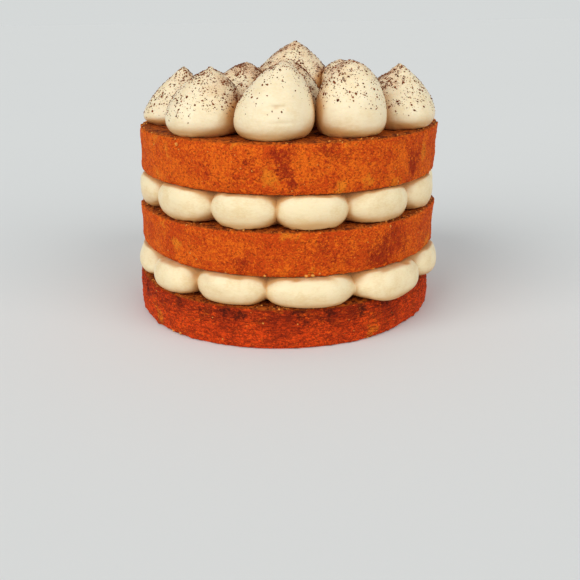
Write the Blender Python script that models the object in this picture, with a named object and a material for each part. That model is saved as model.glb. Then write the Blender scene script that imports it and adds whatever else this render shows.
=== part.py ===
"""Three-tier naked sponge cake with piped cream fillings and piped cream kisses on top.

Metres, +Z up, the front of the cake faces -Y. The origin is the centre of the base.
Every sponge, every filling and every kiss is its own closed solid.
"""
import math
import random
from collections import namedtuple

import bpy
import bmesh

MM = 0.001
FULL_TURN = 2 * math.pi

# Gap left between neighbouring solids.
GAP = 0.3 * MM

# Sponges. Heights are of the flat faces; each plane can slope a little,
# in rise per metre along X and along Y.
BASE_PLANE = (0.0, 0.0, 0.0)
BOTTOM_TOP_PLANE = (19.2 * MM, -0.012, 0.0)
MIDDLE_BOTTOM_PLANE = (33.2 * MM, -0.010, 0.008)
MIDDLE_TOP_PLANE = (53.3 * MM, -0.004, 0.0)
TOP_BOTTOM_PLANE = (68.4 * MM, -0.006, 0.0)
TOP_PLANE = (90.3 * MM, 0.0, 0.0)

BOTTOM_CENTRE = (0.2 * MM, 0.0)
MIDDLE_CENTRE = (2.4 * MM, 0.5 * MM)
TOP_CENTRE = (3.4 * MM, 1.2 * MM)
BOTTOM_RADII = (74.7 * MM, 74.2 * MM)
MIDDLE_RADII = (72.6 * MM, 73.2 * MM)
TOP_RADII = (71.9 * MM, 72.3 * MM)
EDGE_ROUND = 1.3 * MM
SIDE_WAVE = 0.45 * MM
SIDE_WAVE_COUNTS = (2, 3, 5, 7, 11)
SPONGE_SEGMENTS = 88

# Rings of a sponge's side: share of its height, and share of the edge rounding taken off there.
SPONGE_ROWS = ((0.0, 1.0), (0.07, 0.2), (0.36, 0.0), (0.68, 0.0), (0.94, 0.15), (1.0, 0.9))

# A chip off a sponge's side: angle and half width in degrees, share of the height, and depth.
# A negative depth is a raised knob.
Chip = namedtuple("Chip", "angle width level depth")
CHIP_REACH = 0.16  # half height of a chip, as a share of the sponge's height
BOTTOM_CHIPS = (Chip(-22, 9, 1.0, 1.0 * MM), Chip(52, 10, 0.05, 0.9 * MM))
MIDDLE_CHIPS = (Chip(-80, 10, 0.17, -2.6 * MM), Chip(-80, 9, 0.97, -0.8 * MM),
                Chip(82, 8, 0.95, -1.9 * MM), Chip(82, 9, 0.08, -1.3 * MM))
TOP_CHIPS = (Chip(-80, 16, 0.08, -1.9 * MM), Chip(-25, 17, 1.0, 1.6 * MM), Chip(83, 6, 1.0, -1.2 * MM))

# Fillings: a ring of piped dollops pressed between two sponges.
FILLING_UPPER_CENTRE = (2.8 * MM, 0.8 * MM)
FILLING_LOWER_CENTRE = (2.2 * MM, 0.4 * MM)
FILLING_UPPER_RADIUS = 73.6 * MM
FILLING_LOWER_RADIUS = 76.6 * MM
FOOT_RADIUS = 73.4 * MM
NOTCH_DEPTH_UPPER = 11.5 * MM
NOTCH_DEPTH_LOWER = 12.5 * MM
DOLLOP_SEGMENTS = 10
DOLLOP_ROWS = (-1.0, -0.88, -0.62, -0.22, 0.22, 0.62, 0.88, 1.0)
DOLLOP_SQUEEZE = (0.72, 0.24)  # how flat a dollop's top and bottom are at its middle, and less beside
DOLLOP_WIDTH = 0.885
FOOT_INSET = 0.4 * MM

# A dollop that stands this far past the foot starts to hang over the rim, and hangs fully after
# the second length.
HANG_START = 1.0 * MM
HANG_LENGTH = 1.9 * MM
CREASE_WIDTH = 3.5  # degrees
CREASE_SHARE = 0.75

# One dollop: the angle of the notch where it starts, in degrees, how much further out it reaches,
# how far its fullest part moves down (as a share of its half height), how far it hangs over the
# sponge below, and the angle of the crease in what hangs.
Dollop = namedtuple("Dollop", "start extra lower sag crease", defaults=(0.0, 0.0, 0.0, 0.0))
UPPER_DOLLOPS = (
    Dollop(-60.5),
    Dollop(-29.3, extra=0.4 * MM),
    Dollop(-4.4, extra=0.6 * MM),
    Dollop(22.0),
    Dollop(51.8, extra=-0.2 * MM),
    Dollop(80.0),
    Dollop(110.0),
    Dollop(140.0),
    Dollop(170.5, extra=0.6 * MM),
    Dollop(202.0),
    Dollop(234.0, extra=-0.5 * MM),
    Dollop(266.0, extra=0.1 * MM, lower=-0.1),
)
LOWER_DOLLOPS = (
    Dollop(-60.5, extra=1.3 * MM, lower=0.2),
    Dollop(-35.4),
    Dollop(-8.0, extra=0.6 * MM, lower=0.1),
    Dollop(24.6, extra=2.2 * MM, lower=0.2, sag=2.2 * MM, crease=46.5),
    Dollop(57.8, extra=0.2 * MM, lower=0.2, sag=0.8 * MM, crease=0.0),
    Dollop(88.0),
    Dollop(119.0, extra=-0.6 * MM),
    Dollop(148.0),
    Dollop(177.0),
    Dollop(206.0, extra=-0.4 * MM),
    Dollop(236.0),
    Dollop(266.0, extra=-0.2 * MM, lower=0.45),
)

# Kisses: piped onion shapes, nine around the rim, five inside them and one in the middle.
KISS_SEGMENTS = 16
KISS_ROWS = (0.0, 0.07, 0.16, 0.28, 0.41, 0.53, 0.65, 0.76, 0.86, 0.94)
KISS_FOOT = 0.80  # radius at the very bottom, as a share of the widest
KISS_CLEARANCE = 2.0 * MM  # kisses further apart than this don't press on each other
PRESSED_GAP = 0.7 * GAP
PRESSED_CORNER = 1.2 * MM
RIM_RING_RADIUS = 55.0 * MM
BACK_RING_RADIUS = 54.0 * MM
INNER_RING_RADIUS = 25.0 * MM
KISS_RADIUS = 17.0 * MM
KISS_HEIGHT = 27.0 * MM

SPONGE_COLOUR = (0.56, 0.135, 0.018)
SPONGE_DARK_COLOUR = (0.47, 0.088, 0.012)
CREAM_COLOUR = (0.86, 0.75, 0.53)


def clear_scene():
    for ob in list(bpy.data.objects):
        bpy.data.objects.remove(ob, do_unlink=True)


def make_material(name, colour, roughness):
    mat = bpy.data.materials.new(name)
    mat.use_nodes = True
    shader = mat.node_tree.nodes["Principled BSDF"]
    shader.inputs["Base Color"].default_value = (*colour, 1.0)
    shader.inputs["Roughness"].default_value = roughness
    mat.diffuse_color = (*colour, 1.0)
    return mat


def add_solid(name, rings, mat, tip=None):
    """Skin a stack of rings into one closed body, with a fan or a tip at each end."""
    bm = bmesh.new()
    rows = [[bm.verts.new(p) for p in ring] for ring in rings]
    count = len(rows[0])
    for low, high in zip(rows, rows[1:]):
        for i in range(count):
            j = (i + 1) % count
            bm.faces.new((low[i], low[j], high[j], high[i]))
    for row, end in ((rows[0], None), (rows[-1], tip)):
        if end is None:
            end = [sum(v.co[k] for v in row) / count for k in range(3)]
        mid = bm.verts.new(end)
        for i in range(count):
            bm.faces.new((row[i], row[(i + 1) % count], mid))
    bmesh.ops.triangulate(bm, faces=[f for f in bm.faces if len(f.verts) > 3])
    bmesh.ops.recalc_face_normals(bm, faces=bm.faces)
    mesh = bpy.data.meshes.new(name)
    bm.to_mesh(mesh)
    bm.free()
    mesh.materials.append(mat)
    mesh.shade_smooth()
    mesh.set_sharp_from_angle(angle=math.radians(50))
    ob = bpy.data.objects.new(name, mesh)
    bpy.context.scene.collection.objects.link(ob)
    return ob


def plane_height(plane, x, y):
    height, slope_x, slope_y = plane
    return height + slope_x * x + slope_y * y


def polar(centre, radius, angle):
    """Angles start at the front of the cake and grow towards its right-hand side."""
    return centre[0] + radius * math.sin(angle), centre[1] - radius * math.cos(angle)


def near(angle, target_deg, width_deg):
    """1 at the target angle, falling smoothly to 0 a few widths away."""
    turn = (math.degrees(angle) - target_deg + 180.0) % 360.0 - 180.0
    return math.exp(-(turn / width_deg) ** 2)


def side_waves(seed):
    """Waves that run round a sponge: how many, how strong, where they start and how they lean."""
    rng = random.Random(seed)
    return [(k, rng.uniform(0.3, 0.6) / math.sqrt(k), rng.uniform(0, FULL_TURN), rng.uniform(-1.5, 1.5))
            for k in SIDE_WAVE_COUNTS]


def sponge(name, low_plane, high_plane, centre, radii, mat, seed, chips):
    """A sponge with rounded edges, a wavy side and a few chipped or raised places."""
    waves = side_waves(seed)
    rings = []
    for t, rounding in SPONGE_ROWS:
        ring = []
        for i in range(SPONGE_SEGMENTS):
            angle = FULL_TURN * i / SPONGE_SEGMENTS
            radius = radii[0] + (radii[1] - radii[0]) * t - rounding * EDGE_ROUND
            radius += SIDE_WAVE * sum(a * math.sin(k * angle + ph + c * t) for k, a, ph, c in waves)
            for chip in chips:
                share = near(angle, chip.angle, chip.width)
                radius -= chip.depth * share * math.exp(-((t - chip.level) / CHIP_REACH) ** 2)
            x, y = polar(centre, radius, angle)
            low, high = plane_height(low_plane, x, y), plane_height(high_plane, x, y)
            ring.append((x, y, low + (high - low) * t))
        rings.append(ring)
    return add_solid(name, rings, mat)


def dollop_profile(u, s):
    """How far a pressed dollop bulges: 1 at its middle, 0 in the notches beside it.

    u runs from -1 to 1 along the dollop, and s from -1 at its bottom to 1 at its top.
    """
    squeeze = DOLLOP_SQUEEZE[0] + DOLLOP_SQUEEZE[1] * abs(u) ** 3
    return math.sqrt(max(0.0, 1.0 - abs(DOLLOP_WIDTH * u) ** 2.6 - abs(squeeze * s) ** 3))


def filling(name, low_plane, high_plane, centre, radius, depth, dollops, mat):
    """One filling: a ring of dollops, each of which ends where the next one starts."""
    rings = []
    for s in DOLLOP_ROWS[:1] + DOLLOP_ROWS:
        ring = []
        for dollop, after in zip(dollops, dollops[1:] + dollops[:1]):
            span = (after.start - dollop.start) % 360.0
            for i in range(DOLLOP_SEGMENTS):
                u = math.sin(math.pi * (i / DOLLOP_SEGMENTS - 0.5))
                angle = math.radians(dollop.start + span * (u + 1.0) / 2.0)
                lift = min(1.0, max(-1.0, s + dollop.lower * (1.0 - s * s)))
                reach = radius - depth + (depth + dollop.extra) * dollop_profile(u, lift)
                if not rings:
                    reach = min(reach - FOOT_INSET, FOOT_RADIUS)
                x, y = polar(centre, reach, angle)
                low = plane_height(low_plane, x, y) + GAP
                high = plane_height(high_plane, x, y) - GAP
                hang = min(1.0, max(0.0, (reach - FOOT_RADIUS - HANG_START) / HANG_LENGTH))
                hang *= dollop.sag * (1.0 - CREASE_SHARE * near(angle, dollop.crease, CREASE_WIDTH))
                hang *= (1.0 - s) / 2.0
                ring.append((x, y, low + (high - low) * (s + 1.0) / 2.0 - hang))
        rings.append(ring)
    return add_solid(name, rings, mat)


class Kiss:
    """A piped kiss: a belly low down, a rounded or pointed top and a tip that leans.

    Belly is the height of the widest place and peak that of the small point on the dome, both as
    shares of the height. Blunt and shoulder are the powers that round the dome.
    """

    def __init__(self, name, x, y, radius, height, lean=(0.0, 0.0), belly=0.22, blunt=0.75,
                 shoulder=1.75, peak=0.0):
        self.name, self.x, self.y = name, x, y
        self.radius, self.height, self.lean = radius, height, lean
        self.belly, self.blunt, self.shoulder, self.peak = belly, blunt, shoulder, peak

    def radius_at(self, z):
        t = z / self.height
        if t >= 1.0:
            return 0.0
        if t < self.belly:
            swell = math.sin(math.pi / 2 * (t / self.belly) ** 0.8)
            return self.radius * (KISS_FOOT + (1.0 - KISS_FOOT) * swell)
        dome_top = 1.0 - self.peak
        up = min(1.0, (t - self.belly) / (dome_top - self.belly))
        dome = self.radius * (1.0 - up ** self.shoulder) ** self.blunt
        return max(dome, self.height * min(1.0 - t, self.peak))

    def centre_at(self, z):
        t = min(1.0, z / self.height)
        return self.x + self.lean[0] * t * t, self.y + self.lean[1] * t * t


def soft_min(a, b, width):
    """The smaller of two lengths, with the corner between them rounded."""
    h = max(width - abs(a - b), 0.0) / width
    return min(a, b) - h * h * width * 0.25


def build_kiss(kiss, others, mat):
    """Kisses that would run into each other are pressed flat where they meet."""
    floor = TOP_PLANE[0] + GAP
    rings = []
    for t in KISS_ROWS:
        z = t * kiss.height
        own = kiss.radius_at(z)
        cx, cy = kiss.centre_at(z)
        ring = []
        for i in range(KISS_SEGMENTS):
            angle = FULL_TURN * i / KISS_SEGMENTS
            dx, dy = math.cos(angle), math.sin(angle)
            reach = own
            for other in others:
                theirs = other.radius_at(z)
                if theirs <= 0.0:
                    continue
                ox, oy = other.centre_at(z)
                dist = math.hypot(ox - cx, oy - cy)
                if dist > own + theirs + KISS_CLEARANCE:
                    continue
                facing = (dx * (ox - cx) + dy * (oy - cy)) / dist
                if facing > 0.05:
                    wall = (dist * dist + own * own - theirs * theirs) / (2 * dist) - PRESSED_GAP
                    reach = soft_min(reach, wall / facing, PRESSED_CORNER)
            ring.append((cx + reach * dx, cy + reach * dy, floor + z))
        rings.append(ring)
    top_x, top_y = kiss.centre_at(kiss.height)
    return add_solid(kiss.name, rings, mat, tip=(top_x, top_y, floor + kiss.height))


def lay_out_kisses():
    """Positions, sizes and leans of all the kisses; those at the back are not seen from the front."""
    def place(name, angle_deg, ring_radius, radius=KISS_RADIUS, height=KISS_HEIGHT, **shape):
        x, y = polar(TOP_CENTRE, ring_radius, math.radians(angle_deg))
        return Kiss(name, x, y, radius, height, **shape)

    return [
        place("kiss_rim_1", -88.0, 53.3 * MM, 18.0 * MM, 25.2 * MM,
              lean=(3.3 * MM, 0.0), belly=0.12, blunt=0.98, shoulder=1.5),
        place("kiss_rim_2", -41.6, RIM_RING_RADIUS, 17.7 * MM, 27.4 * MM,
              lean=(3.2 * MM, 1.5 * MM), blunt=0.62, peak=0.06),
        place("kiss_rim_3", -6.7, 55.5 * MM, 17.2 * MM, 30.0 * MM,
              lean=(5.0 * MM, 0.5 * MM), blunt=0.70),
        place("kiss_rim_4", 28.0, 56.3 * MM, 15.3 * MM, 30.0 * MM,
              lean=(-0.5 * MM, 0.0), blunt=0.58, shoulder=2.0),
        place("kiss_rim_5", 61.0, 56.4 * MM, 17.6 * MM, 26.9 * MM,
              lean=(0.8 * MM, 0.0), blunt=0.96, shoulder=1.6),
        place("kiss_rim_6", 103.0, BACK_RING_RADIUS, 18.2 * MM, 21.6 * MM,
              lean=(1.6 * MM, -0.6 * MM), blunt=0.72),
        place("kiss_rim_7", 144.5, BACK_RING_RADIUS, 18.8 * MM, 23.6 * MM,
              lean=(-1.2 * MM, 1.6 * MM), blunt=0.78, shoulder=1.6),
        place("kiss_rim_8", 187.0, BACK_RING_RADIUS, 18.4 * MM, 25.6 * MM,
              lean=(2.4 * MM, -0.8 * MM), blunt=0.68, peak=0.07),
        place("kiss_rim_9", 229.5, BACK_RING_RADIUS, 18.7 * MM, 21.8 * MM,
              lean=(0.6 * MM, 1.4 * MM), blunt=0.84, shoulder=1.9),
        place("kiss_inner_1", -65.0, 27.2 * MM, 18.0 * MM, 27.6 * MM,
              lean=(5.4 * MM, 0.5 * MM), blunt=0.78, shoulder=2.0),
        place("kiss_inner_2", -1.0, 26.0 * MM, 17.2 * MM, 29.8 * MM, lean=(0.2 * MM, 0.0)),
        place("kiss_inner_3", 67.5, 26.5 * MM, 16.6 * MM, 28.2 * MM, blunt=0.7),
        place("kiss_inner_4", 140.0, INNER_RING_RADIUS, 16.2 * MM, 23.0 * MM,
              lean=(1.0 * MM, 0.6 * MM), blunt=0.70),
        place("kiss_inner_5", 214.0, INNER_RING_RADIUS, 16.4 * MM, 23.2 * MM,
              lean=(-1.4 * MM, 0.8 * MM), blunt=0.80, shoulder=1.6),
        Kiss("kiss_centre", 4.2 * MM, 1.2 * MM, 22.3 * MM, 36.5 * MM,
             lean=(3.1 * MM, 0.0), belly=0.44, blunt=0.87, shoulder=1.3),
    ]


def build():
    clear_scene()
    sponge_mat = make_material("sponge", SPONGE_COLOUR, 0.85)
    dark_mat = make_material("sponge_dark", SPONGE_DARK_COLOUR, 0.85)
    cream_mat = make_material("cream", CREAM_COLOUR, 0.5)

    sponge("sponge_bottom", BASE_PLANE, BOTTOM_TOP_PLANE, BOTTOM_CENTRE, BOTTOM_RADII,
           dark_mat, 3, BOTTOM_CHIPS)
    sponge("sponge_middle", MIDDLE_BOTTOM_PLANE, MIDDLE_TOP_PLANE, MIDDLE_CENTRE, MIDDLE_RADII,
           sponge_mat, 5, MIDDLE_CHIPS)
    sponge("sponge_top", TOP_BOTTOM_PLANE, TOP_PLANE, TOP_CENTRE, TOP_RADII,
           sponge_mat, 8, TOP_CHIPS)

    filling("filling_upper", MIDDLE_TOP_PLANE, TOP_BOTTOM_PLANE, FILLING_UPPER_CENTRE,
            FILLING_UPPER_RADIUS, NOTCH_DEPTH_UPPER, UPPER_DOLLOPS, cream_mat)
    filling("filling_lower", BOTTOM_TOP_PLANE, MIDDLE_BOTTOM_PLANE, FILLING_LOWER_CENTRE,
            FILLING_LOWER_RADIUS, NOTCH_DEPTH_LOWER, LOWER_DOLLOPS, cream_mat)

    kisses = lay_out_kisses()
    for kiss in kisses:
        build_kiss(kiss, [k for k in kisses if k is not kiss], cream_mat)


build()
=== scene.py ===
import math

import bpy
import numpy as np
from mathutils import Matrix, Vector, noise
from mathutils.bvhtree import BVHTree


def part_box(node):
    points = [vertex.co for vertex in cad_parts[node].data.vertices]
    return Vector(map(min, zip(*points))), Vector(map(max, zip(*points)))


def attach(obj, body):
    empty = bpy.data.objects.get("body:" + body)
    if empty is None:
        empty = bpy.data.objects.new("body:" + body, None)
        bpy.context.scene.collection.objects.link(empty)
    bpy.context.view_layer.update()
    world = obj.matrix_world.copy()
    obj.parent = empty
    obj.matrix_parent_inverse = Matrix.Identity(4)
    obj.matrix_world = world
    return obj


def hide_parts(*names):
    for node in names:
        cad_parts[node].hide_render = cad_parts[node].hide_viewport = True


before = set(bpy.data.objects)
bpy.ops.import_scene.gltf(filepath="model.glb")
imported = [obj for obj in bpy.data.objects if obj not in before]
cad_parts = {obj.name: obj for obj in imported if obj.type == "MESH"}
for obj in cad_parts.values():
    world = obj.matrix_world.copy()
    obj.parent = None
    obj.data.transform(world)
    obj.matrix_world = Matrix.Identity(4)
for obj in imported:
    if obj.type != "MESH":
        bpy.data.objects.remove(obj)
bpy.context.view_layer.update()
mm = 0.001
mergeReach = 0.01 * mm
shapeLeeway = 1.5                               # by how much more their shape may differ than their angle


# Small helpers for modelling

def pick(piece):
    bpy.ops.object.select_all(action="DESELECT")
    piece.select_set(True)
    bpy.context.view_layer.objects.active = piece


def applyModifier(piece, kind, **settings):
    pick(piece)
    modifier = piece.modifiers.new(kind.lower(), kind)
    for name, value in settings.items():
        setattr(modifier, name, value)
    bpy.ops.object.modifier_apply(modifier=modifier.name)


def copyOfNode(nodeName, pieceName, pairingAngle=60):
    # The copy's loose triangles are merged and paired into quads, ready to be subdivided
    piece = bpy.data.objects.new(pieceName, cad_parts[nodeName].data.copy())
    bpy.context.scene.collection.objects.link(piece)
    piece.data.materials.clear()
    pick(piece)
    bpy.ops.object.mode_set(mode="EDIT")
    bpy.ops.mesh.select_all(action="SELECT")
    bpy.ops.mesh.remove_doubles(threshold=mergeReach)
    angle = math.radians(pairingAngle)
    bpy.ops.mesh.tris_convert_to_quads(face_threshold=angle, shape_threshold=shapeLeeway * angle)
    bpy.ops.object.mode_set(mode="OBJECT")
    if "custom_normal" in piece.data.attributes:
        piece.data.attributes.remove(piece.data.attributes["custom_normal"])
    return piece


def readPoints(piece):
    mesh = piece.data
    points = np.zeros(len(mesh.vertices) * 3, np.float32)
    normals = np.zeros(len(mesh.vertices) * 3, np.float32)
    mesh.vertices.foreach_get("co", points)
    mesh.vertices.foreach_get("normal", normals)
    return points.reshape(-1, 3), normals.reshape(-1, 3)


def writePoints(piece, points):
    piece.data.vertices.foreach_set("co", np.asarray(points, np.float32).ravel())
    piece.data.update()


def noteOnPoints(piece, name, values):
    # A number for each point, which a material can read
    note = piece.data.attributes.new(name, "FLOAT", "POINT")
    note.data.foreach_set("value", np.asarray(values, np.float32))


def inOneOrder(piece):
    # Extruding numbers the new faces differently each time, so the mesh is written again, sorted by place
    corners = [tuple(vertex.co) for vertex in piece.data.vertices]
    order = sorted(range(len(corners)), key=lambda number: corners[number])
    rank = {old: new for new, old in enumerate(order)}
    faces = sorted(([rank[number] for number in face.vertices] for face in piece.data.polygons), key=sorted)
    piece.data = bpy.data.meshes.new(piece.name)
    piece.data.from_pydata([corners[number] for number in order], [], faces)


def smoothStep(values, low, high):
    share = np.clip((values - low) / (high - low), 0, 1)
    return share * share * (3 - 2 * share)


def cloud(points, size, octaves=3, stretch=(1, 1, 1), shift=0.0):
    # Fractal noise of about -1 to 1 whose lumps are about that size
    scaled = np.asarray(points, float) / size * np.array(stretch, float) + shift
    return np.array([noise.fractal(p, 0.8, 2.0, octaves) for p in scaled.tolist()])


def pits(points, size, stretch=(1, 1, 1), shift=0.0):
    # Distance to the nearest of many scattered dots: 0 at a dot, about 1 between them
    scaled = np.asarray(points, float) / size * np.array(stretch, float) + shift
    return np.array([noise.voronoi(p)[0][0] for p in scaled.tolist()])


# Rays that find how hidden each point is, for painted shade
occlusionRays = {
    "rays": 8, "tilts": (30, 62), "reach": 13 * mm, "start": 0.3 * mm,
    "skew": (0.3, 0.5, 0.8),                                # any way that no face points along
    "smoothing": 8, "spread": 0.6,                          # how often, and how much, it is evened out
}


def treeOfNodes():
    # All the CAD nodes as one tree, which rays can be sent through
    corners, faces = [], []
    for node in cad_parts.values():
        first = len(corners)
        corners += [vertex.co.copy() for vertex in node.data.vertices]
        faces += [[first + number for number in face.vertices] for face in node.data.polygons]
    return BVHTree.FromPolygons(corners, faces)


def occlusionOn(piece):
    # 0 in the open, towards 1 where other parts of the cake come close in front of the surface; the cream is
    # painted darker there as shade, and on the kisses more dust settles there
    points, normals = readPoints(piece)
    side = np.cross(normals, occlusionRays["skew"])
    side /= np.maximum(np.linalg.norm(side, axis=1), 1e-6)[:, None]
    other = np.cross(normals, side)
    closeness = np.zeros(len(points))
    starts = (points + normals * occlusionRays["start"]).tolist()
    for number in range(occlusionRays["rays"]):
        turn = 2 * math.pi * number / occlusionRays["rays"]
        tilt = math.radians(occlusionRays["tilts"][number % 2])
        ways = normals * math.cos(tilt) + (side * math.cos(turn) + other * math.sin(turn)) * math.sin(tilt)
        for index, (start, way) in enumerate(zip(starts, ways.tolist())):
            far = cakeTree.ray_cast(start, way, occlusionRays["reach"])[3]
            if far is not None:
                closeness[index] += 1 - far / occlusionRays["reach"]
    closeness /= occlusionRays["rays"]
    ends = np.array([edge.vertices for edge in piece.data.edges])
    degree = np.bincount(ends.ravel(), minlength=len(points))
    for _ in range(occlusionRays["smoothing"]):
        around = np.bincount(ends[:, 0], closeness[ends[:, 1]], len(points))
        around += np.bincount(ends[:, 1], closeness[ends[:, 0]], len(points))
        closeness = (1 - occlusionRays["spread"]) * closeness + occlusionRays["spread"] * around / degree
    return closeness


cakeTree = treeOfNodes()


def finishPiece(piece, material, nodeName):
    pick(piece)
    bpy.ops.object.shade_smooth()
    piece.data.materials.append(material)
    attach(piece, "root")
    if nodeName:
        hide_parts(nodeName)


# Materials

class Wire:                                     # a socket that can be used in a sum
    def __init__(self, paint, socket):
        self.paint = paint
        self.socket = socket

    def sum(self, operation, first, second):
        return self.paint.node("ShaderNodeMath", {"operation": operation}, {0: first, 1: second})

    def __add__(self, other):
        return self.sum("ADD", self, other)

    def __radd__(self, other):
        return self.sum("ADD", other, self)

    def __sub__(self, other):
        return self.sum("SUBTRACT", self, other)

    def __rsub__(self, other):
        return self.sum("SUBTRACT", other, self)

    def __mul__(self, other):
        return self.sum("MULTIPLY", self, other)

    def __rmul__(self, other):
        return self.sum("MULTIPLY", other, self)


class Paint:                                    # one material and its nodes
    def __init__(self, name, roughness, gloss):
        self.material = bpy.data.materials.new(name)
        self.material.use_nodes = True
        self.nodes = self.material.node_tree.nodes
        self.links = self.material.node_tree.links
        self.shader = self.nodes["Principled BSDF"]
        self.shader.inputs["Roughness"].default_value = roughness
        self.shader.inputs["Specular IOR Level"].default_value = gloss
        self.place = self.node("ShaderNodeTexCoord", output="Object")

    def node(self, kind, settings=None, sockets=None, output=0):
        made = self.nodes.new(kind)
        for name, value in (settings or {}).items():
            setattr(made, name, value)
        for key, value in (sockets or {}).items():
            self.feed(made.inputs[key], value)
        return Wire(self, made.outputs[output])

    def feed(self, socket, value):
        if isinstance(value, Wire):
            self.links.new(value.socket, socket)
        elif socket.type == "RGBA":
            socket.default_value = (*value[:3], 1.0)
        else:
            socket.default_value = value

    def grain(self, size, detail=2.0, roughness=0.5, stretch=(1, 1, 1), shift=(0, 0, 0)):
        place = self.node("ShaderNodeMapping", {}, {"Vector": self.place, "Scale": stretch,
                                                    "Location": shift})
        return self.node("ShaderNodeTexNoise", {}, {"Vector": place, "Scale": 1 / size, "Detail": detail,
                                                    "Roughness": roughness})

    def cells(self, size, shift=(0, 0, 0)):
        place = self.node("ShaderNodeMapping", {}, {"Vector": self.place, "Location": shift})
        return self.node("ShaderNodeTexVoronoi", {}, {"Vector": place, "Scale": 1 / size}, "Distance")

    def step(self, value, low, high):            # 0 below low, 1 above high
        return self.node("ShaderNodeMapRange", {"interpolation_type": "SMOOTHSTEP"},
                         {"Value": value, "From Min": low, "From Max": high})

    def mix(self, share, first, second):
        return self.node("ShaderNodeMix", {"data_type": "RGBA"}, {0: share, 6: first, 7: second}, 2)

    def note(self, name):
        return self.node("ShaderNodeAttribute", {"attribute_name": name}, {}, "Fac")

    def frayed(self, size, reach):               # places shifted about by noise, for ragged outlines
        away = self.node("ShaderNodeTexNoise", {}, {"Vector": self.place, "Scale": 1 / size, "Detail": 4.0,
                                                    "Roughness": 0.75}, "Color")
        away = self.node("ShaderNodeVectorMath", {"operation": "SUBTRACT"}, {0: away, 1: (0.5, 0.5, 0.5)})
        away = self.node("ShaderNodeVectorMath", {"operation": "SCALE"}, {0: away, "Scale": reach})
        return self.node("ShaderNodeVectorMath", {"operation": "ADD"}, {0: self.place, 1: away})

    def spot(self, place, centre, size, squash, core=0.15):
        # 1 at a place on the object and near it, 0 from size away; squash lengthens it along z
        away = self.node("ShaderNodeVectorMath", {"operation": "SUBTRACT"}, {0: place, 1: centre})
        away = self.node("ShaderNodeVectorMath", {"operation": "MULTIPLY"}, {0: away, 1: (1, 1, squash)})
        far = self.node("ShaderNodeVectorMath", {"operation": "LENGTH"}, {0: away}, "Value")
        return 1 - self.step(far, core * size, size)

    def finish(self, colour, bump, height):
        self.feed(self.shader.inputs["Base Color"], colour)
        relief = self.node("ShaderNodeBump", {}, {"Height": bump, "Distance": height, "Strength": 1.0})
        self.feed(self.shader.inputs["Normal"], relief)
        return self.material


creamLook = {
    "ivory": (0.86, 0.73, 0.465), "shade": (0.78, 0.61, 0.340),
    "paleIvory": (0.865, 0.745, 0.510), "paleShade": (0.80, 0.65, 0.400),    # of the kisses
    "underShade": (0.58, 0.31, 0.105), "underShadeShare": 0.85,       # painted shade where it turns down towards a sponge
    "occlusion": (0.60, 0.31, 0.10), "occlusionShadeShare": 0.9,           # painted shade deep between two dollops
    "dust": (0.60, 0.240, 0.090), "dustShare": 0.45,
    "cocoa": (0.150, 0.036, 0.011), "cocoaShare": 0.75,
    "mottleSize": 7 * mm, "fleckSize": 1.4 * mm, "filmSize": 1.3 * mm, "speckSize": 0.7 * mm,
    "shadeStep": (0.35, 0.80), "occlusionShadeStep": (0.04, 0.45), "filmStep": (0.10, 1.05),
    "speckStep": (0.48, 0.34), "dustyStep": (0.03, 0.20),
    "poreSize": 0.8 * mm, "rippleSize": 3.2 * mm, "relief": 0.18 * mm,
    "roughness": 0.42, "gloss": 0.30,
    "glow": 0.10, "glowColour": (1.0, 0.62, 0.34), "glowReach": 1.4 * mm,    # light that goes into it
}


def creamPaint(name, ivory, shade):
    look = creamLook
    paint = Paint(name, look["roughness"], look["gloss"])
    shader = paint.shader
    shader.inputs["Subsurface Weight"].default_value = look["glow"]
    shader.inputs["Subsurface Radius"].default_value = look["glowColour"]
    shader.inputs["Subsurface Scale"].default_value = look["glowReach"]
    dust, underShade, occlusion = paint.note("dust"), paint.note("underShade"), paint.note("occlusion")
    mottle = paint.grain(look["mottleSize"], 3)
    flecks = paint.grain(look["fleckSize"], 3, 0.7, (1, 1, 2.5), (3, 3, 3))
    colour = paint.mix(paint.step(mottle + 0.7 * (flecks - 0.5), *look["shadeStep"]), ivory, shade)
    # Painted shade: tan where the cream turns down or comes near a sponge
    colour = paint.mix(underShade * look["underShadeShare"], colour, look["underShade"])
    # Painted shade in nooks that other parts of the cake hide
    occlusionShade = paint.step(occlusion + 0.12 * (mottle - 0.5), *look["occlusionShadeStep"])
    colour = paint.mix(occlusionShade * look["occlusionShadeShare"], colour, look["occlusion"])
    film = paint.step(dust + 0.6 * (paint.grain(look["filmSize"], 3, 0.7) - 0.5), *look["filmStep"])
    colour = paint.mix(film * look["dustShare"], colour, look["dust"])
    # Grains too fine to be pieces, only where there is dust
    specks = paint.step(paint.cells(look["speckSize"]) + 0.50 * (1 - dust), *look["speckStep"])
    specks = specks * paint.step(dust, *look["dustyStep"])
    colour = paint.mix(specks * look["cocoaShare"], colour, look["cocoa"])
    pores = paint.grain(look["poreSize"], 3, 0.6)
    ripple = paint.grain(look["rippleSize"], 2, 0.5, (1, 1, 2.2))
    return paint.finish(colour, pores * 0.4 + ripple + specks * 0.5, look["relief"])


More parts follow.
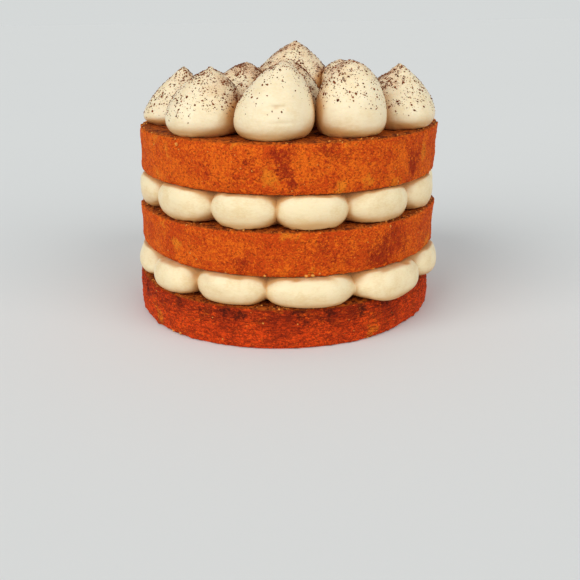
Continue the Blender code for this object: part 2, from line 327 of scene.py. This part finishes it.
spongeLook = {
    "gold": (0.82, 0.240, 0.014),
    "orange": (0.84, 0.156, 0.0080),
    "rust": (0.56, 0.058, 0.004), "redRustAndReflection": (0.84, 0.070, 0.006),
    "red": (0.30, 0.020, 0.003),
    "brown": (0.11, 0.010, 0.003),
    "black": (0.030, 0.006, 0.003),
    "crust": (0.52, 0.105, 0.009), "darkCrust": (0.115, 0.018, 0.004),
    "broadSize": 11 * mm, "middlingSize": 2.6 * mm, "fineSize": 1.15 * mm,
    "cutSize": 9 * mm, "blotSize": 4 * mm, "streakSize": 4 * mm,
    "poreSize": 1.1 * mm, "lineSize": 4.2 * mm, "holeSize": 1.9 * mm,
    "fraySize": 5 * mm, "frayReach": 16 * mm, "markSquash": 0.8,
    # Where each tone starts and where it is full, in the noise that carries it
    "rustStep": (1.02, 1.28), "goldStep": (0.68, 0.98), "paleStep": (0.97, 1.17), "cutStep": (0.82, 0.98),
    "redStep": (1.10, 1.50), "streakStep": (0.56, 0.62), "blackStep": (0.96, 1.30),
    "poreStep": (0.47, 0.36), "streakedPoreStep": (0.485, 0.42), "lineStep": (0.47, 0.43),
    "crustStep": (0.36, 0.62), "upwardStep": (0.35, 0.80), "holeStep": (0.07, 0.18),
    "roughness": 0.80, "gloss": 0.10, "relief": 0.5 * mm,
}


def spongePaint(name, rust, marks, streaked):
    # rust says how much of that tone there is; a mark is x, y, z and reach, in mm, on the object
    look = spongeLook
    paint = Paint(name, look["roughness"], look["gloss"])
    rise, upward = paint.note("rise"), paint.note("upward")
    ragged = paint.frayed(look["fraySize"], look["frayReach"])
    broad = paint.grain(look["broadSize"], 4, 0.65)
    middling = paint.grain(look["middlingSize"], 4, 0.7, (1, 1, 1), (5, 2, 1))
    fine = paint.grain(look["fineSize"], 4, 0.85, (1, 1, 1.2), (1, 8, 3))
    tone = broad * 0.6 + middling * 0.4 + fine * 1.3
    # On the bottom sponge this redder rust is partly its own tone, partly a painted warm reflection of a gold
    # board below
    rusty = look["redRustAndReflection"] if streaked else look["rust"]
    low, full = look["rustStep"]
    colour = paint.mix(paint.step(tone, low - rust, full - rust), look["orange"], rusty)
    # Gold flecks and red blotches
    golden = paint.step(spotsOf(paint, ragged, marks["gold"]) * 0.45 + fine, *look["goldStep"])
    pale = paint.step(middling * 0.5 + fine + 0.25 * (1 - broad), *look["paleStep"]) * 0.45
    edge = paint.step(rise, 0.07, 0.0) + paint.step(rise, 0.93, 1.0)
    cut = paint.grain(look["cutSize"], 3, 0.6, (1, 1, 1), (7, 7, 7)) + fine * 0.6
    cut = edge * paint.step(cut, *look["cutStep"])
    colour = paint.mix(atMost(golden * 0.7 + pale + cut * 0.6), colour, look["gold"])
    blots = paint.grain(look["blotSize"], 5, 0.85, (1, 1, 0.7), (2, 9, 4))
    reddened = spotsOf(paint, ragged, marks["red"]) * 0.32 + blots * 1.2 + fine * 0.7 + rust
    reddened = paint.step(reddened, *look["redStep"])
    if streaked:
        streaks = paint.grain(look["streakSize"], 5, 0.85, (1, 1, 4), (3, 1, 8))
        high = paint.step(rise, 0.25, 0.95)
        reddened = reddened * 0.6 + paint.step(streaks + 0.12 * high, *look["streakStep"]) * 0.75
    colour = paint.mix(atMost(reddened) * 0.9, colour, look["red"])
    # Pores between the crumbs
    pores = paint.grain(look["poreSize"], 4, 0.85, (1, 1, 1.3), (6, 6, 1))
    if streaked:
        lines = paint.grain(look["lineSize"], 5, 0.9, (1, 1, 3.6), (2, 2, 6)) - 0.03 * high
        lines = paint.step(lines, *look["lineStep"])
        pores = atMost(paint.step(pores, *look["streakedPoreStep"]) * 1.2 + lines * 1.1)
    else:
        pores = paint.step(pores, *look["poreStep"])
    colour = paint.mix(pores * 0.66, colour, look["brown"])
    # Near-black: random dark pores, and painted shade at the listed marks just under the cream
    darkPoresAndShade = spotsOf(paint, ragged, marks["black"]) * 0.5 + middling * 0.6 + fine * 0.8
    colour = paint.mix(paint.step(darkPoresAndShade, *look["blackStep"]) * 0.8, colour, look["black"])
    # The crust of the flat faces
    baked = paint.mix(paint.step(middling + 0.8 * (fine - 0.5), *look["crustStep"]), look["darkCrust"],
                      look["crust"])
    colour = paint.mix(paint.step(upward + 0.5 * (fine - 0.5), *look["upwardStep"]), colour, baked)
    holes = paint.step(paint.cells(look["holeSize"], (1, 2, 3)), *look["holeStep"])
    colour = paint.mix((1 - holes) * 0.6, colour, look["brown"])
    bump = middling * 0.6 + fine * 0.9 + holes * 0.3 - pores * 0.25
    return paint.finish(colour, bump, look["relief"])


def atMost(value):
    return value.paint.node("ShaderNodeClamp", {}, {"Value": value})


def spotsOf(paint, place, marks):
    total = 0.0
    for x, y, z, reach in marks:
        total = total + paint.spot(place, (x * mm, y * mm, z * mm), reach * mm, spongeLook["markSquash"])
    return total


# Sponges

spongeShape = {
    "capRings": (0.975, 0.955, 0.90, 0.72, 0.45),       # each ring's size, as a share of the one outside it
    "levels": 3,
    "upright": 0.97,                                    # the z of a flat face's normal is more than this
    "sideStep": (0.6, 0.95),                            # and this is where the side ends and they start
    "waveSize": 16 * mm, "waveDepth": 0.30 * mm,
    "crumbSize": 2.0 * mm, "crumbDepth": 0.24 * mm,
    "pitSize": 4.2 * mm, "pitDepth": 0.35 * mm, "pitStep": (0.05, 0.32),
    "edgeSize": 4.0 * mm, "edgeDepth": 0.9 * mm, "edgeReach": 0.12,
    "foldSize": 7 * mm, "foldStretch": (1, 1, 6), "foldRise": (0.12, 0.5),
    "footReach": 0.8 * mm, "crumbsBelow": 0.3 * mm,     # crumbs hang below a sponge, but not the cake
}


def makeSponge(nodeName, pieceName, material, shift, wrinkle=0.0):
    shape = spongeShape
    piece = copyOfNode(nodeName, pieceName)
    low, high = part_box(nodeName)
    # The fans that close the flat faces give way to rings that shrink towards their middle
    pick(piece)
    for up in (1, -1):
        bpy.ops.object.mode_set(mode="EDIT")
        bpy.ops.mesh.select_mode(type="FACE")
        bpy.ops.mesh.select_all(action="DESELECT")
        bpy.ops.object.mode_set(mode="OBJECT")
        for face in piece.data.polygons:
            face.select = face.normal.z * up > shape["upright"]
        middles = [face.center for face in piece.data.polygons if face.select]
        middle = sum(middles, Vector()) / len(middles)
        bpy.ops.object.mode_set(mode="EDIT")
        bpy.ops.mesh.dissolve_faces()
        for share in shape["capRings"]:
            bpy.ops.mesh.extrude_region()
            bpy.ops.transform.resize(value=(share, share, share), center_override=middle)
        bpy.ops.mesh.poke()
        bpy.ops.object.mode_set(mode="OBJECT")
        inOneOrder(piece)
    applyModifier(piece, "SUBSURF", levels=shape["levels"], render_levels=shape["levels"])
    points, normals = readPoints(piece)
    rise = (points[:, 2] - low.z) / (high.z - low.z)
    noteOnPoints(piece, "rise", rise)
    noteOnPoints(piece, "upward", normals[:, 2])
    side = 1 - smoothStep(np.abs(normals[:, 2]), *shape["sideStep"])
    edge = 1 - smoothStep(np.minimum(rise, 1 - rise), 0.0, shape["edgeReach"])
    push = shape["waveDepth"] * cloud(points, shape["waveSize"], 2, shift=shift) * side
    push += shape["crumbDepth"] * cloud(points, shape["crumbSize"], 3, shift=shift)
    hollows = 1 - smoothStep(pits(points, shape["pitSize"], shift=shift), *shape["pitStep"])
    push -= shape["pitDepth"] * hollows * side
    push += shape["edgeDepth"] * cloud(points, shape["edgeSize"], 3, shift=shift + 9) * edge * side
    if wrinkle:
        folds = cloud(points, shape["foldSize"], 4, stretch=shape["foldStretch"], shift=shift)
        push += wrinkle * folds * side * smoothStep(rise, *shape["foldRise"])
    standing = low.z < mm
    rest = smoothStep(points[:, 2] - low.z, 0.0, shape["footReach"]) if standing else 1.0
    points = points + normals * push[:, None] * np.atleast_1d(rest)[:, None]
    points[:, 2] = np.maximum(points[:, 2], low.z - (0.0 if standing else shape["crumbsBelow"]))
    writePoints(piece, points)
    finishPiece(piece, material, nodeName)
    return piece


# Cream: pressed fillings and piped kisses

creamShape = {
    "levels": 3,
    "tipCrease": 0.65, "tipReach": 0.1 * mm,
    "kissPuff": 0.60 * mm, "fillingPuff": 0.35 * mm,    # swells a piece so that it meets its neighbours
    "lumpSize": 14 * mm, "lumpDepth": 0.30 * mm,
    "rippleSize": 3.2 * mm, "rippleDepth": 0.03 * mm, "rippleStretch": (1, 1, 2.2),
    "footSize": 3.0 * mm, "footDepth": 0.25 * mm, "footReach": 3 * mm,
    "downward": (-0.25, 0.85), "shadedFoot": (0.5 * mm, 5 * mm), "footShadeShare": 0.45,    # where the cream gets painted shade
}


def shapeCream(piece, low, puff, shift):
    shape = creamShape
    applyModifier(piece, "SUBSURF", levels=shape["levels"], render_levels=shape["levels"])
    points, normals = readPoints(piece)
    push = np.full(len(points), puff)
    push += shape["lumpDepth"] * cloud(points, shape["lumpSize"], 2, shift=shift)
    ripples = cloud(points, shape["rippleSize"], 3, stretch=shape["rippleStretch"], shift=shift)
    push += shape["rippleDepth"] * ripples
    foot = 1 - smoothStep(points[:, 2] - low.z, 0.0, shape["footReach"])
    push += shape["footDepth"] * cloud(points, shape["footSize"], 3, shift=shift + 4) * foot
    return points, normals, push


def dent(points, centre, reach, depth):
    # A soft hollow of that depth, reach being its half width along x, y and z
    away = np.linalg.norm((points - np.array(centre)) / np.array(reach), axis=1)
    return -depth * np.exp(-away ** 2)


cocoaFall = {
    "source": (0.004, 0.004, 0.195),   # where it was sifted from
    "facingStep": (0.10, 1.10),        # how much a face looks towards the source
    "levelStep": (0.0, 0.75),          # how level a face is: the upward part of its normal
    "facingDust": 0.55, "levelDust": 0.30, "patchDust": 0.5,
    "caught": 1.6, "caughtStep": (0.0, 0.5),            # more of it settles in the valleys
    "patchStep": (-0.1, 0.3),
    "facingGrains": 0.65, "levelGrains": 0.6, "strayGrains": 0.003,
    "cloudSize": 6 * mm, "clumpSize": 4 * mm,
    "cleanPlace": (-1 * mm, -70 * mm, 104 * mm), "cleanReach": 17.5 * mm, "cleanness": 0.93,
    # Where more of it shows: flanks and valleys that face the middle
    "patches": [((-22 * mm, -44 * mm, 108 * mm), 8 * mm), ((-17 * mm, -12 * mm, 114 * mm), 12 * mm),
                ((24 * mm, -50 * mm, 115 * mm), 8 * mm), ((41 * mm, -33 * mm, 107 * mm), 9 * mm),
                ((12 * mm, -35 * mm, 110 * mm), 11 * mm), ((-58 * mm, -25 * mm, 106 * mm), 7 * mm)],
    "patchStrength": 0.7,
}


def facingSource(points, normals):
    toSource = np.array(cocoaFall["source"]) - points
    toSource /= np.linalg.norm(toSource, axis=1)[:, None]
    return np.sum(toSource * normals, axis=1)


def cleanShare(points):
    away = np.linalg.norm(points - np.array(cocoaFall["cleanPlace"]), axis=1) / cocoaFall["cleanReach"]
    return 1 - cocoaFall["cleanness"] * np.exp(-away ** 4)


def patchesOn(points):
    total = np.zeros(len(points))
    for centre, reach in cocoaFall["patches"]:
        total += np.exp(-(np.linalg.norm(points - np.array(centre), axis=1) / reach) ** 2)
    return cocoaFall["patchStrength"] * total


def dustOn(points, normals, occlusion):
    fall, upward = cocoaFall, normals[:, 2]
    dust = fall["facingDust"] * smoothStep(facingSource(points, normals), *fall["facingStep"])
    dust += fall["levelDust"] * smoothStep(upward, *fall["levelStep"])
    dust += fall["patchDust"] * patchesOn(points) * smoothStep(upward, *fall["patchStep"])
    dust += fall["caught"] * occlusion * smoothStep(upward, *fall["caughtStep"])
    uneven = 0.85 + 0.6 * cloud(points, fall["cloudSize"], 2, shift=21)
    return np.clip(dust * cleanShare(points) * uneven, 0, 1)


def underShadeOn(points, normals, low):
    # How far the cream turns down, or comes near what carries it: there it gets painted shade
    foot = 1 - smoothStep(points[:, 2] - low.z, *creamShape["shadedFoot"])
    return np.clip(smoothStep(-normals[:, 2], *creamShape["downward"]) + creamShape["footShadeShare"] * foot, 0, 1)


def makeFilling(nodeName, pieceName, material, shift):
    piece = copyOfNode(nodeName, pieceName, pairingAngle=100)
    low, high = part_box(nodeName)
    points, normals, push = shapeCream(piece, low, creamShape["fillingPuff"], shift)
    for centre, reach, depth in creamDents.get(nodeName, ()):
        push += dent(points, centre, reach, depth)
    writePoints(piece, points + normals * push[:, None])
    points, normals = readPoints(piece)
    noteOnPoints(piece, "dust", np.zeros(len(points)))
    # Extra painted shade at the smears, added to the shade under the cream
    smearAndShade = sum(dent(points, *smear) for smear in creamSmearsAndShade.get(nodeName, ()))
    noteOnPoints(piece, "underShade", np.clip(underShadeOn(points, normals, low) - smearAndShade, 0, 1))
    noteOnPoints(piece, "occlusion", occlusionOn(piece))
    finishPiece(piece, material, nodeName)


def makeKiss(nodeName, material, shift):
    piece = copyOfNode(nodeName, nodeName.replace("kiss", "cream_kiss"))
    low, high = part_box(nodeName)
    # The tip keeps some of its point when it is subdivided
    bpy.ops.object.mode_set(mode="EDIT")
    bpy.ops.mesh.select_mode(type="VERT")
    bpy.ops.mesh.select_all(action="DESELECT")
    bpy.ops.object.mode_set(mode="OBJECT")
    for vertex in piece.data.vertices:
        vertex.select = vertex.co.z > high.z - creamShape["tipReach"]
    bpy.ops.object.mode_set(mode="EDIT")
    bpy.ops.transform.vert_crease(value=creamShape["tipCrease"])
    bpy.ops.object.mode_set(mode="OBJECT")
    points, normals, push = shapeCream(piece, low, creamShape["kissPuff"], shift)
    for centre, reach, depth in creamDents.get(nodeName, ()):
        push += dent(points, centre, reach, depth)
    writePoints(piece, points + normals * push[:, None])
    points, normals = readPoints(piece)
    occlusion = occlusionOn(piece)
    noteOnPoints(piece, "occlusion", occlusion)
    noteOnPoints(piece, "dust", dustOn(points, normals, occlusion))
    noteOnPoints(piece, "underShade", underShadeOn(points, normals, low))
    finishPiece(piece, material, nodeName)
    return piece


creamDents = {
    "kiss_rim_3": [((-1.2 * mm, -71.0 * mm, 104.0 * mm), (3.5 * mm, 6.0 * mm, 0.8 * mm), 0.9 * mm),
                   ((-6.0 * mm, -71.0 * mm, 101.0 * mm), (4.0 * mm, 5.0 * mm, 0.6 * mm), 0.2 * mm),
                   ((2.0 * mm, -70.0 * mm, 98.0 * mm), (7.0 * mm, 5.0 * mm, 0.6 * mm), 0.16 * mm)],
    "filling_lower": [((-40.0 * mm, -64.0 * mm, 29.0 * mm), (1.8 * mm, 8.0 * mm, 4.5 * mm), 0.35 * mm),
                      ((60.0 * mm, -50.0 * mm, 29.0 * mm), (3.0 * mm, 5.0 * mm, 1.2 * mm), 0.3 * mm)],
}
creamSmearsAndShade = {                                         # more painted shade, in the lower filling's twisted creases where it is partly a brown smear, and as painted shadow at the upper filling's foot: centre, reach and strength
    "filling_lower": [((-40.5 * mm, -64.0 * mm, 28.5 * mm), (3.6 * mm, 8.0 * mm, 3.2 * mm), 0.55),
                      ((-34.0 * mm, -68.0 * mm, 31.0 * mm), (2.5 * mm, 6.0 * mm, 1.6 * mm), 0.35)],
    "filling_upper": [((17.0 * mm, -74.0 * mm, 56.5 * mm), (14.0 * mm, 8.0 * mm, 2.4 * mm), 0.35)],
}


# Cocoa and crumbs

def scatterOver(pieces, count, weightOf, seed):
    # Random places on the pieces' faces, denser where weightOf says so
    rng = np.random.default_rng(seed)
    corners, normals, weights = [], [], []
    for piece in pieces:
        mesh = piece.data
        mesh.calc_loop_triangles()
        order = np.zeros(len(mesh.loop_triangles) * 3, np.int32)
        mesh.loop_triangles.foreach_get("vertices", order)
        points = readPoints(piece)[0][order].reshape(-1, 3, 3)
        cross = np.cross(points[:, 1] - points[:, 0], points[:, 2] - points[:, 0])
        area = np.linalg.norm(cross, axis=1)
        corners.append(points)
        normals.append(cross / np.maximum(area, 1e-12)[:, None])
        weights.append(area * weightOf(points.mean(axis=1), normals[-1]))
    corners, normals, weights = np.concatenate(corners), np.concatenate(normals), np.concatenate(weights)
    chosen = rng.choice(len(weights), count, p=weights / weights.sum())
    a, b = rng.random(count), rng.random(count)
    flip = a + b > 1
    a[flip], b[flip] = 1 - a[flip], 1 - b[flip]
    tri = corners[chosen]
    spots = tri[:, 0] + a[:, None] * (tri[:, 1] - tri[:, 0]) + b[:, None] * (tri[:, 2] - tri[:, 0])
    return spots, normals[chosen], rng


def makePebble(fine):
    # The shape that is repeated: twelve faces for the finest bits, and twenty for the others
    bpy.ops.object.select_all(action="DESELECT")
    if fine:
        bpy.ops.mesh.primitive_cube_add(size=1.3)
    else:
        bpy.ops.mesh.primitive_ico_sphere_add(subdivisions=1, radius=1.0)
    pebble = bpy.context.object
    applyModifier(pebble, "TRIANGULATE")
    shape = readPoints(pebble)[0]
    faces = np.array([list(face.vertices) for face in pebble.data.polygons])
    bpy.data.objects.remove(pebble)
    return shape, faces


def makeBits(pieceName, pebble, spots, normals, sizes, bits, rng, material):
    # The pebble at every spot, each one roughened, turned and squashed, as one mesh
    shape, faces = pebble
    count = len(spots)
    rough = shape[None] * rng.uniform(0.65, 1.25, (count, len(shape), 1))
    rough = rough * rng.uniform(0.6, 1.3, (count, 1, 3))
    rough[:, :, 2] *= bits["flatness"]
    along = np.cross(normals, rng.normal(size=(count, 3)))
    along /= np.linalg.norm(along, axis=1)[:, None]
    across = np.cross(normals, along)
    turn = np.stack([along, across, normals], axis=1)
    placed = np.einsum("nvk,nkj->nvj", rough * sizes[:, None, None], turn)
    placed += (spots + normals * (sizes * bits["sink"])[:, None])[:, None, :]
    allFaces = (faces[None] + (np.arange(count) * len(shape))[:, None, None]).reshape(-1, 3)
    mesh = bpy.data.meshes.new(pieceName)
    mesh.from_pydata(placed.reshape(-1, 3).tolist(), [], allFaces.tolist())
    piece = bpy.data.objects.new(pieceName, mesh)
    bpy.context.scene.collection.objects.link(piece)
    finishPiece(piece, material, None)
    return piece


cocoaLook = {
    "dark": (0.088, 0.018, 0.005), "light": (0.27, 0.068, 0.017), "tintSize": 1.2 * mm,
    "grainSize": 0.2 * mm, "relief": 0.05 * mm, "roughness": 0.9, "gloss": 0.1,
}
crumbLook = {
    "dark": (0.62, 0.17, 0.015), "light": (0.78, 0.33, 0.050), "tintSize": 2.0 * mm,
    "grainSize": 0.3 * mm, "relief": 0.1 * mm, "roughness": 0.8, "gloss": 0.5,
}


def bitPaint(name, look):
    paint = Paint(name, look["roughness"], look["gloss"])
    tint = paint.step(paint.grain(look["tintSize"], 2), 0.35, 0.65)
    colour = paint.mix(tint, look["dark"], look["light"])
    return paint.finish(colour, paint.grain(look["grainSize"]), look["relief"])


cocoaGrains = {
    "count": 16000, "small": 0.11 * mm, "large": 0.26 * mm, "flatness": 0.6, "sink": 0.2, "seed": 8,
}
cocoaFlakes = {
    "count": 6500, "small": 0.25 * mm, "large": 0.56 * mm, "flatness": 0.45, "sink": 0.2, "seed": 9,
}
looseCrumbs = {
    "count": 1400, "small": 0.15 * mm, "large": 0.50 * mm, "flatness": 0.8, "sink": 0.3, "seed": 10,
    "edgeReach": 0.9 * mm, "middle": 3 * mm, "outside": 69 * mm,    # near the edges, and never far inside
    "stray": 0.008, "clumpSize": 14 * mm,
}


# Making it all

topMarks = {
    "gold": [(-57, -38, 88, 6), (-50, -47, 84, 4), (-57, -38, 72, 5), (-53, -44, 69, 4), (-34, -61, 69, 4),
             (-5, -71, 76, 7), (-19, -67, 90, 5), (28, -67, 89, 4), (26, -67, 71, 6), (37, -63, 73, 5),
             (51, -53, 69, 5), (64, -38, 81, 6), (30, 66, 72, 8), (-60, 40, 88, 7)],
    "red": [(-14, -69, 82, 6), (-20, -67, 74, 5), (-33, -61, 75, 4), (-2, -71, 86, 5), (0, -71, 82, 7),
            (2, -71, 77, 7), (3, -71, 72, 6), (5, -71, 89, 5), (16, -70, 85, 6), (20, -69, 88, 6),
            (29, -66, 87, 4), (53, -51, 88, 7), (59, -45, 79, 8), (59, -45, 73, 8), (60, 42, 80, 11),
            (-20, 70, 76, 10), (-68, 8, 74, 8)],
    "black": [],
}
middleMarks = {
    "gold": [(2, -72, 53, 5), (7, -72, 53, 5), (-54, -45, 49, 5), (-48, -52, 44, 5), (12, -71, 33, 4),
             (15, -71, 33, 4), (69, -29, 34, 6), (71, -23, 37, 5), (-10, 72, 36, 8), (55, 47, 52, 7)],
    "red": [(16, -71, 46, 6), (50, -54, 44, 15), (41, -61, 38, 12), (-18, -69, 38, 7), (29, -67, 41, 6),
            (20, -70, 41, 4), (67, -33, 39, 6), (-40, 60, 44, 11), (40, 60, 40, 9)],
    "black": [],
}
bottomMarks = {
    "gold": [(-8, -74, 20.5, 4), (-3, -74, 20, 4), (40, -63, 3, 6), (-59, -45, 5, 5), (20, 72, 3, 6)],
    "red": [(-26, -70, 13, 12), (0, -74, 12, 14), (26, -70, 12, 12), (48, -57, 13, 14), (-66, -34, 14, 6),
            (0, 74, 12, 15), (66, 34, 12, 12), (-50, 55, 12, 12)],
    # Painted shade: near-black just under the lower cream
    "black": [(-49, -56, 18, 6), (-36, -65, 15, 5), (-26, -70, 18, 7), (-19, -72, 17, 6), (7, -74, 17, 8),
              (20, -72, 16, 8), (34, -66, 17, 7), (46, -59, 16, 6), (50, -55, 10, 4), (-67, -32, 14, 4),
              (-10, 74, 17, 8), (30, 68, 17, 8), (-60, 44, 17, 7), (70, 24, 17, 6)],
}
crumbLumps = {                                          # larger crumbs on the sides: x, y, z, size, in mm
    "top": [(-45, -52, 87.5, 0.75), (-44, -53, 85.5, 0.6), (51, -53, 70, 0.55), (24, -68, 70, 0.5)],
    "middle": [(47, -57, 51, 0.7), (38, -63, 52.5, 0.5), (13, -71, 33.5, 0.9), (16, -71, 33.8, 0.7),
               (-8, -71, 33.5, 0.6), (10, -71, 33.3, 0.7)],
    "bottom": [(-52, -53, 0.8, 0.8), (-48, -57, 0.8, 0.9), (38, -64, 0.8, 0.6), (-9, -74, 13, 0.45)],
}

cream = creamPaint("cream", creamLook["ivory"], creamLook["shade"])
kissCream = creamPaint("kiss_cream", creamLook["paleIvory"], creamLook["paleShade"])
topSponge = makeSponge("sponge_top", "top_sponge",
                       spongePaint("top_sponge", 0.02, topMarks, False), 11.0)
middleSponge = makeSponge("sponge_middle", "middle_sponge",
                          spongePaint("middle_sponge", 0.05, middleMarks, False), 23.0)
# The bottom sponge's extra rust and red are partly its own colour, partly a painted warm reflection of a gold
# board below it
bottomSponge = makeSponge("sponge_bottom", "bottom_sponge",
                          spongePaint("bottom_sponge", 0.17, bottomMarks, True), 37.0,
                          wrinkle=0.5 * mm)
print("sponges made")

makeFilling("filling_upper", "upper_cream", cream, 3.0)
makeFilling("filling_lower", "lower_cream", cream, 5.0)
print("fillings made")

kissNames = sorted(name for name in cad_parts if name.startswith("kiss"))
kisses = [makeKiss(name, kissCream, 41.0 + 7 * number) for number, name in enumerate(kissNames)]
print("kisses made")


def grainWeight(points, normals):
    fall, upward = cocoaFall, normals[:, 2]
    facing = np.clip(facingSource(points, normals), 0, 1)
    level = smoothStep(upward, *fall["levelStep"])
    clumps = 0.55 + 1.2 * np.clip(cloud(points, fall["clumpSize"], 2, shift=33), -0.4, 1)
    more = patchesOn(points) * smoothStep(upward, *fall["patchStep"])
    fallen = fall["facingGrains"] * facing ** 2 + fall["levelGrains"] * level + more
    return fall["strayGrains"] * (upward > fall["patchStep"][0]) + fallen * clumps * cleanShare(points)


def mostlySmall(bits, rng, count):
    return bits["small"] + (bits["large"] - bits["small"]) * rng.random(count) ** 2


cocoa = bitPaint("cocoa", cocoaLook)
spots, outward, rng = scatterOver(kisses, cocoaGrains["count"], grainWeight, cocoaGrains["seed"])
sizes = rng.uniform(cocoaGrains["small"], cocoaGrains["large"], len(spots))
makeBits("cocoa_grains", makePebble(True), spots, outward, sizes, cocoaGrains, rng, cocoa)
spots, outward, rng = scatterOver(kisses, cocoaFlakes["count"], grainWeight, cocoaFlakes["seed"])
sizes = mostlySmall(cocoaFlakes, rng, len(spots))
makeBits("cocoa_flakes", makePebble(False), spots, outward, sizes, cocoaFlakes, rng, cocoa)


def crumbWeight(points, normals):
    ends = [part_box(name) for name in ("sponge_bottom", "sponge_middle", "sponge_top")]
    near = np.zeros(len(points))
    for low, high in ends:
        for level in (low.z, high.z):
            if level > mm:
                near += np.exp(-((points[:, 2] - level) / looseCrumbs["edgeReach"]) ** 2)
    outer = np.hypot(points[:, 0] - looseCrumbs["middle"], points[:, 1]) > looseCrumbs["outside"]
    clumps = 0.1 + np.clip(cloud(points, looseCrumbs["clumpSize"], 2, shift=4), 0, 1)
    return outer * (looseCrumbs["stray"] + near * clumps)


def lumpsOn(piece, lumps):
    # Each lump moves to the nearest point of the sponge
    points, normals = readPoints(piece)
    nearest = [np.argmin(np.linalg.norm(points - np.array(lump[:3]) * mm, axis=1)) for lump in lumps]
    return points[nearest], normals[nearest], np.array([lump[3] for lump in lumps]) * mm


spots, outward, rng = scatterOver([topSponge, middleSponge, bottomSponge], looseCrumbs["count"], crumbWeight,
                                  looseCrumbs["seed"])
sizes = mostlySmall(looseCrumbs, rng, len(spots))
named = [lumpsOn(topSponge, crumbLumps["top"]), lumpsOn(middleSponge, crumbLumps["middle"]),
         lumpsOn(bottomSponge, crumbLumps["bottom"])]
spots = np.concatenate([spots] + [lump[0] for lump in named])
outward = np.concatenate([outward] + [lump[1] for lump in named])
sizes = np.concatenate([sizes] + [lump[2] for lump in named])
spots[:, 2] = np.maximum(spots[:, 2], 1.3 * sizes)      # none of them reaches under the cake
makeBits("loose_crumbs", makePebble(False), spots, outward, sizes, looseCrumbs, rng,
         bitPaint("crumb", crumbLook))
print("cocoa and crumbs made")


# Floor, light and camera

studio = {
    "floorColour": (0.768, 0.785, 0.781), "floorShade": 0.985, "floorRadius": 40.0,
    "lightColour": (0.93, 0.96, 0.98), "lightStrength": 0.46,
    "backColour": (0.668, 0.690, 0.686),                # what is seen beyond the floor
    "leftStrength": 1.78, "leftFrom": (-48, 30), "leftColour": (1.0, 0.985, 0.96),  # azimuth, elevation
    "rightStrength": 1.23, "rightFrom": (46, 26), "rightColour": (1.0, 0.985, 0.965),
    "softness": 50,                                     # how wide each light looks, in degrees
}
viewpoint = {
    "place": (0.0025, -0.3655, 0.1371),
    "tiltDown": 20.48, "turn": -0.08, "roll": -0.77,     # degrees
    "lens": 45.02, "sensor": 36.0, "nearest": 0.01,
}


def makeFloor():
    bpy.ops.object.select_all(action="DESELECT")
    bpy.ops.mesh.primitive_circle_add(vertices=96, radius=studio["floorRadius"], fill_type="NGON")
    floor = bpy.context.object
    floor.name = "floor"
    paint = Paint("floor", 1.0, 0.0)
    shade = [studio["floorShade"] * channel for channel in studio["floorColour"]]
    colour = paint.mix(paint.grain(0.4, 2), studio["floorColour"], shade)
    floor.data.materials.append(paint.finish(colour, paint.grain(0.01, 2), 0.02 * mm))


def makeWorld():
    # Even light from all round; the camera itself sees a backdrop as pale as the floor
    world = bpy.data.worlds.new("studio")
    world.use_nodes = True
    nodes, links = world.node_tree.nodes, world.node_tree.links
    light = nodes["Background"]
    light.inputs["Color"].default_value = (*studio["lightColour"], 1.0)
    light.inputs["Strength"].default_value = studio["lightStrength"]
    back = nodes.new("ShaderNodeBackground")
    back.inputs["Color"].default_value = (*studio["backColour"], 1.0)
    mixed = nodes.new("ShaderNodeMixShader")
    links.new(nodes.new("ShaderNodeLightPath").outputs["Is Camera Ray"], mixed.inputs[0])
    links.new(light.outputs[0], mixed.inputs[1])
    links.new(back.outputs[0], mixed.inputs[2])
    links.new(mixed.outputs[0], nodes["World Output"].inputs["Surface"])
    bpy.context.scene.world = world


def makeLight(name, fromWhere, strength, colour):
    light = bpy.data.lights.new(name, "SUN")
    light.angle = math.radians(studio["softness"])
    light.energy = strength
    light.color = colour
    holder = bpy.data.objects.new(name, light)
    azimuth, elevation = (math.radians(angle) for angle in fromWhere)
    back = Vector((math.sin(azimuth) * math.cos(elevation), -math.cos(azimuth) * math.cos(elevation),
                   math.sin(elevation)))
    holder.rotation_euler = (-back).to_track_quat("-Z", "Y").to_euler()
    bpy.context.scene.collection.objects.link(holder)


def makeCamera():
    camera = bpy.data.objects.new("camera", bpy.data.cameras.new("camera"))
    bpy.context.scene.collection.objects.link(camera)
    tilt = math.radians(90 - viewpoint["tiltDown"])
    turn = Matrix.Rotation(math.radians(viewpoint["turn"]), 4, "Z")
    roll = Matrix.Rotation(math.radians(viewpoint["roll"]), 4, "Z")
    camera.matrix_world = Matrix.Translation(viewpoint["place"]) @ turn @ Matrix.Rotation(tilt, 4, "X") @ roll
    camera.data.lens = viewpoint["lens"]
    camera.data.sensor_width = viewpoint["sensor"]
    camera.data.clip_start = viewpoint["nearest"]
    bpy.context.scene.camera = camera


makeFloor()
makeLight("left_light", studio["leftFrom"], studio["leftStrength"], studio["leftColour"])
makeLight("right_light", studio["rightFrom"], studio["rightStrength"], studio["rightColour"])
makeCamera()
makeWorld()
bpy.context.scene.view_settings.view_transform = "Standard"
print("studio made")
